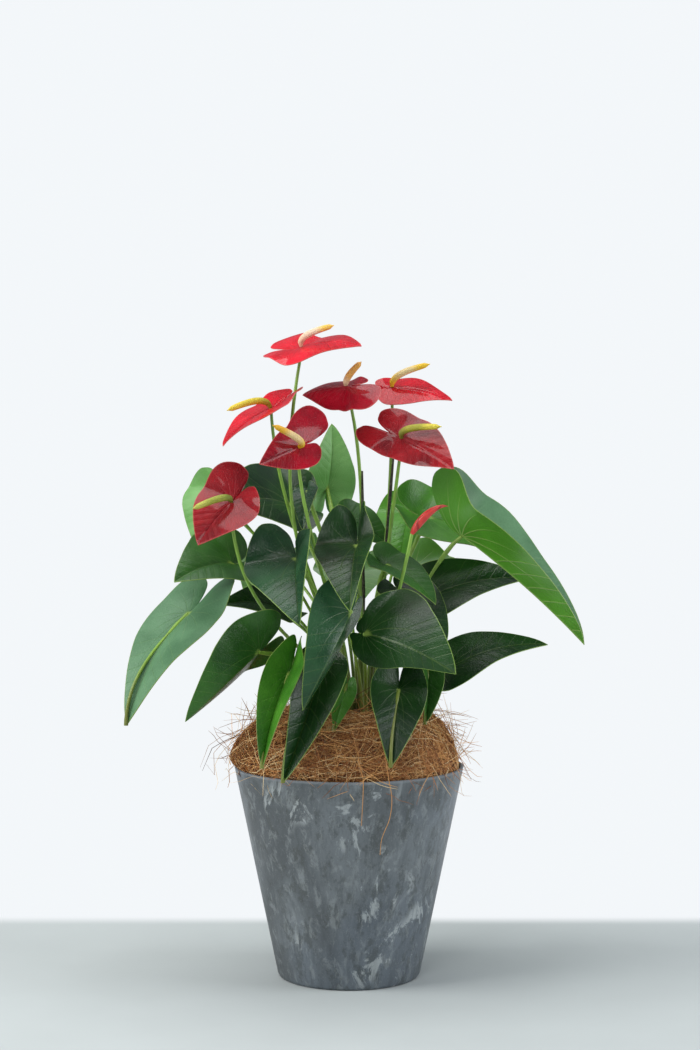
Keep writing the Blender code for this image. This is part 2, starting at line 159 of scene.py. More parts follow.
def objectPlace(tree, stretch=(1, 1, 1), turn=(0, 0, 0)):
    place = tree.nodes.new("ShaderNodeTexCoord")
    mapping = tree.nodes.new("ShaderNodeMapping")
    mapping.inputs["Scale"].default_value = stretch
    mapping.inputs["Rotation"].default_value = turn
    tree.links.new(place.outputs["Object"], mapping.inputs["Vector"])
    return mapping.outputs["Vector"]


def splitParts(tree, vector):
    split = tree.nodes.new("ShaderNodeSeparateXYZ")
    tree.links.new(vector, split.inputs["Vector"])
    return split.outputs["X"], split.outputs["Y"], split.outputs["Z"]


def cloud(tree, place, scale, detail=3.0, rough=0.5, distortion=0.0):
    node = tree.nodes.new("ShaderNodeTexNoise")
    node.inputs["Scale"].default_value = scale
    node.inputs["Detail"].default_value = detail
    node.inputs["Roughness"].default_value = rough
    node.inputs["Distortion"].default_value = distortion
    tree.links.new(place, node.inputs["Vector"])
    return node.outputs["Fac"]


def cells(tree, place, scale, feature="F1"):
    node = tree.nodes.new("ShaderNodeTexVoronoi")
    node.feature = feature
    node.inputs["Scale"].default_value = scale
    tree.links.new(place, node.inputs["Vector"])
    return node.outputs["Distance"]


def paint(tree, shader, colour, roughness):
    join(tree, colour, shader.inputs["Base Color"])
    join(tree, roughness, shader.inputs["Roughness"])


def addBump(tree, shader, height, strength, depth):
    node = tree.nodes.new("ShaderNodeBump")
    node.inputs["Strength"].default_value = strength
    node.inputs["Distance"].default_value = depth
    tree.links.new(height, node.inputs["Height"])
    tree.links.new(node.outputs["Normal"], shader.inputs["Normal"])


def uvParts(tree, layer):
    node = tree.nodes.new("ShaderNodeUVMap")
    node.uv_map = layer
    x, y, _ = splitParts(tree, node.outputs["UV"])
    return node.outputs["UV"], x, y


# widths are shares of the main vein's; distances are shares of the blade's length
veinPlan = {"bow": 0.30, "fanWidth": 1.6, "fanFades": (0.95, 0.30), "climb": 0.80, "sideWidth": 0.9,
            "sideStarts": (0.10, 0.22), "sideDepth": 0.8, "ribWidth": 1.7, "ribStarts": (-0.02, 0.02),
            "netScale": 34.0, "netWidth": 0.16, "pillowStarts": (0.05, 0.25)}


def veinPattern(tree, basal, lateral, width):
    # lines that fan from the junction, side veins off the midrib, and the fine net between them
    plan = veinPlan
    _, discX, discY = uvParts(tree, "disc")
    x = times(tree, calc(tree, "SUBTRACT", discX, 0.5), 2.0)
    y = times(tree, calc(tree, "SUBTRACT", discY, 0.5), 2.0)
    reach = distance(tree, x, y)
    angle = calc(tree, "ABSOLUTE", calc(tree, "ARCTAN2", x, y))
    bent = timesPlus(tree, reach, plan["bow"], angle)
    turn = calc(tree, "PINGPONG", times(tree, bent, basal / math.pi), 0.5)
    gap = times(tree, times(tree, turn, math.pi / basal), reach)
    fan = times(tree, fade(tree, gap, width * plan["fanWidth"], 0.0), fade(tree, reach, *plan["fanFades"]))
    sheet, across, along = uvParts(tree, "sheet")
    out = calc(tree, "ABSOLUTE", across)
    climb = calc(tree, "SUBTRACT", along, times(tree, out, plan["climb"]))
    side = calc(tree, "PINGPONG", times(tree, climb, lateral), 0.5)
    sideLine = times(tree, fade(tree, side, width * lateral * plan["sideWidth"], 0.0),
                     fade(tree, climb, *plan["sideStarts"]))
    rib = times(tree, fade(tree, out, width * plan["ribWidth"], 0.0), fade(tree, along, *plan["ribStarts"]))
    veins = calc(tree, "MAXIMUM", fan, times(tree, sideLine, plan["sideDepth"]))
    net = cells(tree, sheet, plan["netScale"], "DISTANCE_TO_EDGE")
    return {"reach": reach, "veins": calc(tree, "MAXIMUM", veins, rib),
            "net": fade(tree, net, 0.0, plan["netWidth"]),
            "pillow": times(tree, side, fade(tree, climb, *plan["pillowStarts"]))}


def addSheetRelief(tree, shader, vein, place, plan):
    # raised between the side veins, sunk along each vein, with soft lumps over all
    height = timesPlus(tree, vein["pillow"], plan["pillow"], times(tree, vein["net"], plan["net"]))
    height = timesPlus(tree, vein["veins"], -plan["veins"], height)
    height = timesPlus(tree, cloud(tree, place, plan["lumpScale"], 2.0), plan["lumps"], height)
    addBump(tree, shader, height, plan["strength"], plan["depth"])


leafTones = {
    # deep and light colour of the upper side, colour of the underside, roughness
    "deep": ((0.003, 0.022, 0.004), (0.014, 0.060, 0.010), (0.060, 0.180, 0.016), 0.30),
    # painted reflection: a bluer copy of the leaf green for tops that mirror the sky and wall
    "blue": ((0.007, 0.038, 0.014), (0.026, 0.090, 0.034), (0.070, 0.210, 0.020), 0.28),
    "mid": ((0.012, 0.066, 0.008), (0.040, 0.140, 0.022), (0.090, 0.270, 0.022), 0.32),
    # painted sheen: a paler grey copy of the leaf green for tops that catch the light
    "grey": ((0.060, 0.155, 0.070), (0.110, 0.240, 0.120), (0.085, 0.300, 0.020), 0.44),
    # painted light: brighter copies of the leaf green stand in for light shining through backlit leaves
    "bright": ((0.026, 0.130, 0.008), (0.080, 0.270, 0.022), (0.150, 0.400, 0.034), 0.34),
    "fresh": ((0.100, 0.290, 0.060), (0.200, 0.440, 0.140), (0.180, 0.440, 0.060), 0.32),
}
leafRelief = {"pillow": 0.9, "net": 0.20, "veins": 0.55, "lumpScale": 55.0, "lumps": 0.5,
              "strength": 0.55, "depth": 0.0009}
rimGreen = (0.17, 0.28, 0.055)
starGreen = (0.30, 0.44, 0.09)
underVein = (0.42, 0.56, 0.16)
madeMaterials = {}


def leafTop(tone):
    deep, light, _, roughness = leafTones[tone]
    material, tree, shader = newMaterial("leafTop_" + tone)
    vein = veinPattern(tree, 7, 8.0, 0.007)
    place = objectPlace(tree)
    patch = fade(tree, cloud(tree, place, 16.0, 4.0, 0.55), 0.32, 0.68)
    colour = blendColour(tree, patch, deep, light)
    colour = tinge(tree, colour, calc(tree, "SUBTRACT", 1.0, vein["net"]), 0.14, light)
    colour = tinge(tree, colour, vein["veins"], 0.11, starGreen)
    colour = tinge(tree, colour, fade(tree, vein["reach"], 0.11, 0.02), 0.9, starGreen)
    colour = blendColour(tree, fade(tree, vein["reach"], 0.984, 0.996), colour, rimGreen)
    paint(tree, shader, colour, timesPlus(tree, cloud(tree, place, 40.0), 0.16, roughness - 0.08))
    shader.inputs["Specular IOR Level"].default_value = 0.32
    addSheetRelief(tree, shader, vein, place, leafRelief)
    return material


def leafUnder(tone):
    _, _, under, _ = leafTones[tone]
    material, tree, shader = newMaterial("leafUnder_" + tone)
    vein = veinPattern(tree, 7, 8.0, 0.009)
    patch = cloud(tree, objectPlace(tree), 22.0)
    colour = blendColour(tree, patch, toned(under, 0.72), toned(under, 1.30))
    colour = tinge(tree, colour, vein["veins"], 0.55, underVein)
    paint(tree, shader, colour, 0.42)
    addBump(tree, shader, timesPlus(tree, vein["net"], -0.20, vein["veins"]), 0.55, 0.0010)
    return material


def plainGreen(name, low, high, bottom, top):
    # a stalk's green, which turns from one colour to another over a span of height
    material, tree, shader = newMaterial(name)
    _, _, height = splitParts(tree, objectPlace(tree))
    colour = blendColour(tree, fade(tree, height, bottom, top), low, high)
    streak = cloud(tree, objectPlace(tree, (1, 1, 0.12)), 320.0, 2.0)
    colour = tinge(tree, colour, fade(tree, streak, 0.42, 0.66), 0.30, toned(low, 0.55))
    paint(tree, shader, colour, 0.36)
    addBump(tree, shader, streak, 0.25, 0.0004)
    return material


spatheReds = {
    # deep and light red of the face, roughness
    "scarlet": ((0.48, 0.001, 0.010), (0.76, 0.005, 0.022), 0.34),
    "crimson": ((0.22, 0.000, 0.008), (0.46, 0.000, 0.016), 0.30),
    "dull": ((0.15, 0.002, 0.006), (0.36, 0.006, 0.012), 0.38),
}
spatheRelief = {"pillow": 2.2, "net": 0.45, "veins": 1.0, "lumpScale": 70.0, "lumps": 0.7,
                "strength": 0.75, "depth": 0.0011}
spatheVein = {"face": (0.80, 0.10, 0.12), "rim": (0.80, 0.20, 0.18), "back": (0.62, 0.20, 0.18)}


def spatheFace(red):
    deep, light, roughness = spatheReds[red]
    material, tree, shader = newMaterial("spatheFace_" + red)
    vein = veinPattern(tree, 9, 7.0, 0.010)
    place = objectPlace(tree)
    patch = fade(tree, cloud(tree, place, 26.0, 4.0, 0.55), 0.30, 0.70)
    colour = blendColour(tree, patch, deep, light)
    colour = tinge(tree, colour, vein["veins"], 0.16, spatheVein["face"])
    colour = tinge(tree, colour, fade(tree, vein["reach"], 0.965, 0.995), 0.35, spatheVein["rim"])
    paint(tree, shader, colour, roughness)
    shader.inputs["Specular IOR Level"].default_value = 0.14
    shader.inputs["Coat Weight"].default_value = 0.35
    shader.inputs["Coat Roughness"].default_value = 0.07
    addSheetRelief(tree, shader, vein, place, spatheRelief)
    return material


def spatheBack(red):
    deep, light, _ = spatheReds[red]
    material, tree, shader = newMaterial("spatheBack_" + red)
    vein = veinPattern(tree, 9, 7.0, 0.012)
    patch = cloud(tree, objectPlace(tree), 30.0)
    paler = tuple(0.75 * part + 0.10 for part in light)
    colour = blendColour(tree, patch, deep, paler)
    colour = tinge(tree, colour, vein["veins"], 0.5, spatheVein["back"])
    paint(tree, shader, colour, 0.45)
    addBump(tree, shader, vein["veins"], 0.6, 0.0010)
    return material


def spadixSkin(name, base, middle, tip):
    # tiny packed flowers, with a colour that changes along the spike
    material, tree, shader = newMaterial(name)
    _, along, _ = uvParts(tree, "rod")
    colour = blendColour(tree, fade(tree, along, 0.10, 0.42), base, middle)
    colour = blendColour(tree, fade(tree, along, 0.55, 0.80), colour, tip)
    grain = cells(tree, objectPlace(tree), 900.0)
    colour = tinge(tree, colour, fade(tree, grain, 0.30, 0.62), 0.45, toned(base, 0.55))
    paint(tree, shader, colour, 0.55)
    addBump(tree, shader, calc(tree, "SUBTRACT", 1.0, grain), 0.9, 0.0006)
    return material


def mottled(name, first, second, roughness):
    material, tree, shader = newMaterial(name)
    shade = cloud(tree, objectPlace(tree), 60.0)
    paint(tree, shader, blendColour(tree, shade, first, second), roughness)
    return material


def cached(maker, *words):
    key = (maker.__name__, *words)
    if key not in madeMaterials:
        madeMaterials[key] = maker(*words)
    return madeMaterials[key]


# a blade is a flat fan of spokes and rings, given its outline and then bent into place
fanPlan = {"spokes": 104, "rings": 20, "crowding": 0.8}
lobePlan = {"starts": 80.0, "span": 60.0}
ribDent = {"depth": 0.0008, "width": 0.03, "starts": 4.0}
hearts = {
    # distance from the junction to the edge, by degrees from the tip, for a blade of length 1
    "leaf": (
        (0, 1.0), (14, 0.76), (30, 0.60), (50, 0.51), (75, 0.455),
        (105, 0.43), (135, 0.42), (160, 0.37), (173, 0.26), (180, 0.10),
    ),
    "spathe": (
        (0, 1.0), (14, 0.84), (30, 0.73), (50, 0.66), (75, 0.62),
        (105, 0.60), (135, 0.60), (160, 0.55), (173, 0.42), (180, 0.18),
    ),
}


def heartReach(heart, angle):
    angles = [a for a, _ in heart]
    reaches = [r for _, r in heart]
    slopes = np.gradient(reaches, angles)
    slopes[-1] = slopes[-2]
    k = min(int(np.searchsorted(angles, angle, side="right")) - 1, len(angles) - 2)
    span = angles[k + 1] - angles[k]
    u = (angle - angles[k]) / span
    start = (1 + 2 * u) * (1 - u) ** 2 * reaches[k] + u * (1 - u) ** 2 * span * slopes[k]
    end = u * u * (3 - 2 * u) * reaches[k + 1] + u * u * (u - 1) * span * slopes[k + 1]
    return start + end


def makeFan():
    # one flat disc: a circle drawn in ring by ring and closed at the middle
    deselectAll()
    bpy.ops.mesh.primitive_circle_add(vertices=fanPlan["spokes"], radius=1.0)
    fan = bpy.context.object
    fan.name = "bladeFan"
    openForEditing()
    for ring in range(fanPlan["rings"] - 1, 0, -1):
        bpy.ops.mesh.extrude_region_move()
        shrink = ring / (ring + 1)
        bpy.ops.transform.resize(value=(shrink, shrink, 1.0))
    bpy.ops.mesh.extrude_region_move()
    bpy.ops.mesh.merge(type="CENTER")
    closeWithSkinOut()
    return fan


class Bend:
    # the midrib's curve, and how each half folds and curls off it
    def __init__(self, spec):
        self.spec = spec
        self.joint = Vector(spec["joint"])
        self.tip = Vector(spec["tip"])
        chord = self.tip - self.joint
        self.length = chord.length
        face = Vector(spec["face"])
        face -= chord * (face.dot(chord) / chord.length_squared)
        self.face = face.normalized()
        self.middle = (self.joint + self.tip) / 2 + self.face * spec["arch"] * 2.0 * self.length

    def midrib(self, along):
        t = max(along, 0.0)
        point = self.joint * (1 - t) ** 2 + self.middle * 2 * t * (1 - t) + self.tip * t * t
        heading = ((self.middle - self.joint) * (1 - t) + (self.tip - self.middle) * t).normalized()
        if along < 0.0:
            point = point + heading * along * self.length
        normal = (self.face - heading * self.face.dot(heading)).normalized()
        return point, normal, normal.cross(heading)

    def at(self, along, across, wave):
        point, normal, side = self.midrib(along)
        hand = 0 if across >= 0 else 1
        sign = 1.0 if across >= 0 else -1.0
        out = abs(across) * self.length
        lobe = smoothStep(-along / 0.30)
        slope = math.radians(self.spec["fold"][hand] + self.spec["lift"] * lobe)
        curl = self.spec["curl"][hand]
        flat = (math.sin(slope + curl * out) - math.sin(slope)) / curl
        rise = (math.cos(slope) - math.cos(slope + curl * out)) / curl
        back = max(-along, 0.0) * self.length
        lift = math.radians(self.spec["lift"]) * lobe
        return point + side * sign * flat + normal * (rise + back * math.sin(lift) * 0.6 + wave)


def flatPlaces(mesh, spec):
    # for each vertex: share of the way to the edge, degrees from the tip, edge distance, and half
    heart = hearts[spec["heart"]]
    flat = {}
    edges = {}
    for vertex in mesh.vertices:
        ring = min(1.0, vertex.co.xy.length)
        even = math.degrees(math.atan2(vertex.co.x, vertex.co.y)) if ring > 1e-6 else 0.0
        angle = 180.0 * (0.5 - 0.5 * math.cos(math.radians(abs(even)))) ** fanPlan["crowding"]
        hand = 0 if even >= 0.0 else 1
        key = (hand, round(angle, 3))
        if key not in edges:
            grown = smoothStep((angle - lobePlan["starts"]) / lobePlan["span"])
            edges[key] = heartReach(heart, angle) * (1.0 + (spec["lobes"][hand] - 1.0) * grown)
        flat[vertex.index] = (ring, math.copysign(angle, even), edges[key], hand)
    return flat


def makeBlade(name, fan, spec, thickness, materials, seed):
    # copies the fan, gives it the heart outline, bends it and thickens it
    blade = pieceFrom(name, fan.data.copy())
    mesh = blade.data
    bend = Bend(spec)
    draw = random.Random(seed)
    phases = [draw.uniform(0, 2 * math.pi) for _ in range(3)]
    heart = hearts[spec["heart"]]
    flat = flatPlaces(mesh, spec)
    halfWidth = max(heartReach(heart, angle) * math.sin(math.radians(angle)) for angle in range(0, 180, 2))
    widths = [share * spec["wide"] / halfWidth for share in spec["halves"]]
    discUv = mesh.uv_layers.new(name="disc")
    sheetUv = mesh.uv_layers.new(name="sheet")
    sheetAt = {}
    for vertex in mesh.vertices:
        ring, angle, edge, hand = flat[vertex.index]
        turn = math.radians(angle)
        along = ring * edge * math.cos(turn)
        across = ring * edge * math.sin(turn) * widths[hand]
        sheetAt[vertex.index] = (across, along)
        wave = sum(math.sin(turn * (k + 3) + phase) for k, phase in enumerate(phases))
        wave *= spec["ruffle"] * bend.length * ring ** 3
        dent = ribDent["depth"] * math.exp(-((across / ribDent["width"]) ** 2))
        vertex.co = bend.at(along, across, wave - dent * min(1.0, ring * ribDent["starts"]))
    for loop in mesh.loops:
        ring, angle, _, _ = flat[loop.vertex_index]
        turn = math.radians(angle)
        discUv.data[loop.index].uv = (0.5 + 0.5 * ring * math.sin(turn), 0.5 + 0.5 * ring * math.cos(turn))
        sheetUv.data[loop.index].uv = sheetAt[loop.vertex_index]
    mesh.update()
    if sum(polygon.normal.dot(bend.face) for polygon in mesh.polygons) < 0:
        mesh.flip_normals()
    for material in materials:
        mesh.materials.append(material)
    thick = blade.modifiers.new("thickness", "SOLIDIFY")
    thick.thickness = thickness
    thick.offset = 0.0
    thick.material_offset = 1
    thick.material_offset_rim = 2
    applyModifiers(blade)
    return blade, bend


def makeRodMaster(name, rings, sides):
    # a straight rod one metre tall, a circle raised ring by ring and closed at both ends
    deselectAll()
    bpy.ops.mesh.primitive_circle_add(vertices=sides, radius=1.0, fill_type="NGON")
    rod = bpy.context.object
    rod.name = name
    openForEditing()
    for _ in range(rings):
        bpy.ops.mesh.extrude_region_move(TRANSFORM_OT_translate={"value": (0.0, 0.0, 1.0 / rings)})
    closeWithSkinOut()
    return rod


def bezier(p0, p1, p2, p3, steps):
    points = []
    for k in range(steps + 1):
        t = k / steps
        points.append(p0 * (1 - t) ** 3 + p1 * 3 * t * (1 - t) ** 2 + p2 * 3 * t * t * (1 - t) + p3 * t ** 3)
    return points


def between(values, share):
    # a smooth reading of a short list of numbers at a share of its length
    spot = max(0.0, min(1.0, share)) * (len(values) - 1)
    k = min(int(spot), len(values) - 2)
    return values[k] + (values[k + 1] - values[k]) * smoothStep(spot - k)


def ringFrames(path, heights, radii):
    # where each of the master's rings goes: its centre, two directions across it, and its radius
    lengths = [0.0]
    for before, after in zip(path[:-1], path[1:]):
        lengths.append(lengths[-1] + (after - before).length)
    frames = {}
    side = (path[1] - path[0]).orthogonal().normalized()
    for height in heights:
        run = height * lengths[-1]
        k = max(i for i in range(len(path) - 1) if lengths[i] <= run + 1e-12)
        u = (run - lengths[k]) / max(lengths[k + 1] - lengths[k], 1e-9)
        centre = path[k].lerp(path[k + 1], u)
        before = (path[k] - path[k - 1]) if k > 0 else (path[1] - path[0])
        here = path[k + 1] - path[k]
        after = (path[k + 2] - path[k + 1]) if k + 2 < len(path) else here
        start = (before.normalized() + here.normalized()).normalized()
        end = (here.normalized() + after.normalized()).normalized()
        heading = start.lerp(end, u).normalized()
        side = (side - heading * side.dot(heading)).normalized()
        frames[height] = (centre, side.copy(), heading.cross(side), between(radii, height))
    return frames


def makeRod(name, master, path, radii, material):
    # the master's rings follow a path, with the radii given at shares of its length
    rod = pieceFrom(name, master.data.copy())
    mesh = rod.data
    frames = ringFrames(path, sorted({round(v.co.z, 5) for v in mesh.vertices}), radii)
    rodUv = mesh.uv_layers.new(name="rod")
    shares = {}
    for vertex in mesh.vertices:
        height = round(vertex.co.z, 5)
        centre, side, other, radius = frames[height]
        turn = math.atan2(vertex.co.y, vertex.co.x)
        shares[vertex.index] = (height, turn / (2 * math.pi) + 0.5)
        vertex.co = centre + (side * math.cos(turn) + other * math.sin(turn)) * radius
    for loop in mesh.loops:
        rodUv.data[loop.index].uv = shares[loop.vertex_index]
    mesh.update()
    mesh.materials.append(material)
    return rod


def footOf(node):
    # centre of the lowest ring of a packed stalk
    spots = [v.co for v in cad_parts[node].data.vertices]
    low = min(p.z for p in spots)
    ring = [p for p in spots if p.z < low + 0.0003]
    return sum(ring, Vector()) / len(ring)


# shares of a stalk's span: how far it climbs straight up, how much it droops, how far it runs in to its end
stalkPlan = {"steps": 26, "climbs": 0.40, "droops": 0.35, "runsIn": 0.30, "foot": 0.004}


def stalkPath(foot, end, turning, climbs):
    rise = Vector((0.0, 0.0, climbs * (end - foot).length))
    path = bezier(foot, foot + rise, turning, end, stalkPlan["steps"])
    return upright(path)


def upright(path):
    # the foot leaves the crown straight up
    return [path[0], path[0] + Vector((0.0, 0.0, stalkPlan["foot"]))] + path[1:]


def petiolePath(foot, joint, via):
    reach = joint - foot
    droop = Vector((0.0, 0.0, stalkPlan["droops"] * reach.length))
    arrive = (reach - droop).normalized()
    turning = Vector(via) if via else joint - arrive * stalkPlan["runsIn"] * reach.length
    return stalkPath(foot, joint, turning, stalkPlan["climbs"])


def mergeInto(piece, *others):
    activate(piece)
    for other in others:
        other.select_set(True)
    bpy.ops.object.join()


planterPlan = {"sides": 144, "height": 0.258, "rimRadius": 0.14, "baseRadius": 0.0865, "wall": 0.005,
               "floor": 0.007, "round": 0.0022}
glazeClouds = {
    # stretch and turn of each pattern, its scale, detail, roughness and distortion, and where it sets in
    "body": ((1, 1, 0.55), (0, 0.35, 0), 9.0, 6.0, 0.60, 0.8, (0.36, 0.64)),
    "blue": ((1, 1, 1), (0, 0, 0), 5.0, 3.0, 0.50, 0.0, (0.45, 0.60)),
    "stain": ((1, 1, 0.6), (0, 0, 0), 62.0, 10.0, 0.72, 0.0, (0.50, 0.60)),
    "veil": ((1, 1, 0.5), (0.2, 0, 0), 75.0, 10.0, 0.75, 0.5, (0.51, 0.62)),
    "curls": ((1, 1, 0.55), (0, 0.35, 0), 17.0, 10.0, 0.70, 2.4, (0.545, 0.60)),
    "zone": ((1, 1, 0.8), (0, 0, 0), 10.0, 2.0, 0.50, 0.0, (0.53, 0.60)),
    "brush": ((1, 1, 0.06), (0, 0, 0), 170.0, 4.0, 0.65, 0.0, (0.46, 0.66)),
}
glazeBody = ((0.082, 0.094, 0.102), (0.165, 0.188, 0.204))
glazeCoats = {
    # strength and tint of each coat, in the order they go on
    "blue": (0.45, (0.120, 0.150, 0.190)),
    "stain": (0.55, (0.058, 0.066, 0.062)),
    "veil": (0.50, (0.275, 0.305, 0.315)),
    "curls": (0.70, (0.46, 0.50, 0.51)),
    "brush": (0.35, (0.066, 0.078, 0.086)),
    "grit": (0.10, (0.50, 0.53, 0.55)),
    "lip": (0.45, (0.30, 0.33, 0.37)),
    # painted shade: the inner wall is darkened almost to black
    "inside": (0.92, (0.018, 0.019, 0.022)),
}


def stoneGlaze():
    # blue-grey marbled body, whitish streaks that swirl, darker patches, a paler lip and painted shade that
    # darkens the inside
    material, tree, shader = newMaterial("marbledStone")
    plan = planterPlan
    top = plan["height"]
    place = objectPlace(tree)
    x, y, height = splitParts(tree, place)
    patterns = {}
    masks = {}
    for name, (stretch, turn, scale, detail, rough, distortion, sets) in glazeClouds.items():
        patterns[name] = cloud(tree, objectPlace(tree, stretch, turn), scale, detail, rough, distortion)
        masks[name] = fade(tree, patterns[name], *sets)
    masks["curls"] = times(tree, masks["curls"], masks["zone"])
    grit = cells(tree, place, 420.0)
    masks["grit"] = fade(tree, grit, 0.30, 0.12)
    masks["lip"] = fade(tree, height, top - 0.0042, top - 0.0012)
    slope = (plan["rimRadius"] - plan["baseRadius"]) / top
    outside = calc(tree, "SUBTRACT", distance(tree, x, y), timesPlus(tree, height, slope, plan["baseRadius"]))
    below = fade(tree, height, top - 0.0005, top - 0.003)
    # painted shade over the inner wall, below the lip
    masks["inside"] = times(tree, fade(tree, outside, -0.0025, -0.0042), below)
    colour = blendColour(tree, masks["body"], *glazeBody)
    for name, (strength, tint) in glazeCoats.items():
        colour = tinge(tree, colour, masks[name], strength, tint)
    paint(tree, shader, colour, timesPlus(tree, masks["body"], -0.10, 0.56))
    shader.inputs["Specular IOR Level"].default_value = 0.40
    relief = timesPlus(tree, patterns["brush"], 0.5, times(tree, grit, 0.4))
    addBump(tree, shader, timesPlus(tree, masks["veil"], 0.5, relief), 0.35, 0.0008)
    return material


def planterProfile(plan):
    # up the outside, over the rounded lip and down the inside, as radius and height
    slope = (plan["rimRadius"] - plan["baseRadius"]) / plan["height"]
    top = plan["height"]
    base = plan["baseRadius"]
    edge = plan["round"]
    half = plan["wall"] / 2
    profile = [(base - edge * 1.6, 0.0), (base - edge * 0.8, edge * 0.15), (base - edge * 0.2, edge * 0.8),
               (base + slope * edge * 2, edge * 2)]
    for share in (0.2, 0.4, 0.6, 0.8):
        profile.append((base + slope * top * share, top * share))
    profile.append((plan["rimRadius"] - slope * edge, top - edge))
    for turn in range(1, 8):
        lean = math.pi * turn / 8
        profile.append((plan["rimRadius"] - half + math.cos(lean) * half, top - edge + math.sin(lean) * edge))
    profile.append((plan["rimRadius"] - plan["wall"] - slope * edge, top - edge))
    for height in (top * 0.6, plan["floor"]):
        profile.append((base - plan["wall"] + slope * height, height))
    return profile


def makePlanter():
    # a disc raised and drawn in ring by ring along the profile
    profile = planterProfile(planterPlan)
    deselectAll()
    radius, height = profile[0]
    bpy.ops.mesh.primitive_circle_add(vertices=planterPlan["sides"], radius=radius, fill_type="NGON",
                                      location=(0, 0, height))
    planter = bpy.context.object
    planter.name = "marbledPlanter"
    openForEditing()
    for newRadius, newHeight in profile[1:]:
        bpy.ops.mesh.extrude_region_move(TRANSFORM_OT_translate={"value": (0, 0, newHeight - height)})
        ratio = newRadius / radius
        bpy.ops.transform.resize(value=(ratio, ratio, 1.0))
        radius, height = newRadius, newHeight
    closeWithSkinOut()
    planter.data.materials.append(stoneGlaze())
    smoothShade(planter, 40)
    settle(planter, "faux_stone", "planter")


coirPlan = {
    "strands": 3800, "rings": 9, "sides": 3, "shortest": 0.028, "longest": 0.085, "seed": 41,
    # how far strands lie off the bed, and how fast a loose one rises
    "lift": (0.0, 0.0030), "rise": (0.0004, 0.0026), "wander": 0.18, "swirl": 9.0,
    # strands start above this height, outside the circle of stalks, and on faces that look up
    "lowest": 0.25, "stalksAt": (0.02, 0.0), "stalksRadius": 0.044, "rimHeight": 0.262,
    # thinnest and thickest radius, share of loose strands, and the dark, middle and light tint of each layer
    "layers": {
        "coirLower": (0.00024, 0.00050, 0.04, (0.13, 0.040, 0.010), (0.50, 0.210, 0.060), (0.80, 0.46, 0.17)),
        "coirUpper": (0.00018, 0.00038, 0.12, (0.34, 0.120, 0.034), (0.78, 0.400, 0.130), (0.98, 0.76, 0.42)),
    },
    "bed": ((0.050, 0.018, 0.006), (0.20, 0.080, 0.024), (0.44, 0.20, 0.07)),
}


def coirMatter(name, dark, middle, light, bedLike):
    material, tree, shader = newMaterial(name)
    place = objectPlace(tree)
    if bedLike:
        tint = cloud(tree, place, 90.0, 5.0, 0.7, 1.5)
        addBump(tree, shader, cloud(tree, place, 260.0, 4.0, 0.7, 3.0), 0.9, 0.003)
    else:
        _, _, tint = uvParts(tree, "rod")
    colour = blendColour(tree, fade(tree, tint, 0.05, 0.55), dark, middle)
    colour = blendColour(tree, fade(tree, tint, 0.55, 1.0), colour, light)
    colour = tinge(tree, colour, fade(tree, cloud(tree, place, 24.0), 0.36, 0.66), 0.30, dark)
    paint(tree, shader, colour, 0.70)
    return material


def makeCoirBed():
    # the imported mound, welded, rounded and set under the strands
    bed = pieceFrom("coirBed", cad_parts["coir_dressing"].data.copy())
    bed.data.materials.clear()
    activate(bed)
    openForEditing()
    bpy.ops.mesh.remove_doubles(threshold=0.00002)
    bpy.ops.mesh.tris_convert_to_quads()
    bpy.ops.object.mode_set(mode="OBJECT")
    rounding = bed.modifiers.new("rounding", "SUBSURF")
    rounding.levels = 2
    rounding.render_levels = 2
    applyModifiers(bed)
    bed.data.materials.append(coirMatter("coirBed", *coirPlan["bed"], True))
    smoothShade(bed, 80)
    settle(bed, "coir", "coir_dressing")
    return bed


def strandPath(start, surface, looseShare, draw):
    # one strand wanders over the bed, and a loose one rises off it towards its end
    plan = coirPlan
    step = draw.uniform(plan["shortest"], plan["longest"]) / (plan["rings"] - 1)
    here = start.center.copy()
    normal = start.normal.copy()
    heading = Vector((draw.gauss(0, 1), draw.gauss(0, 1), draw.gauss(0, 0.5)))
    swirl = draw.gauss(0, plan["swirl"])
    lift = draw.uniform(*plan["lift"])
    rise = draw.uniform(*plan["rise"]) if draw.random() < looseShare else 0.0
    path = []
    for k in range(plan["rings"]):
        heading = (heading - normal * heading.dot(normal)).normalized()
        path.append((here + normal * (lift + rise * k * k * 0.25), normal.copy()))
        turn = swirl * step + draw.gauss(0, plan["wander"])
        heading = heading * math.cos(turn) + normal.cross(heading) * math.sin(turn)
        here, normal, _, _ = surface.find_nearest(here + heading * step)
        if here.z < plan["rimHeight"]:
            normal = Vector((normal.x, normal.y, max(normal.z, 0.0))).normalized()
    return path


def addStrand(path, radius, corners, faces):
    # a thin closed rod along the path, narrower at its two ends
    sides = coirPlan["sides"]
    base = len(corners)
    last = len(path) - 1
    for k, (centre, up) in enumerate(path):
        ahead = path[min(k + 1, last)][0] - path[max(k - 1, 0)][0]
        ahead = ahead.normalized() if ahead.length > 1e-7 else Vector((1, 0, 0))
        side = ahead.cross(up)
        side = side.normalized() if side.length > 1e-6 else ahead.orthogonal().normalized()
        other = side.cross(ahead)
        slim = radius * (0.45 if k in (0, last) else 1.0)
        for n in range(sides):
            turn = 2 * math.pi * n / sides
            corners.append(centre + (side * math.cos(turn) + other * math.sin(turn)) * slim)
    for k in range(last):
        low = base + k * sides
        for n in range(sides):
            after = (n + 1) % sides
            faces.append((low + n, low + sides + n, low + sides + after, low + after))
    faces.append(tuple(base + n for n in range(sides)))
    faces.append(tuple(base + last * sides + n for n in reversed(range(sides))))


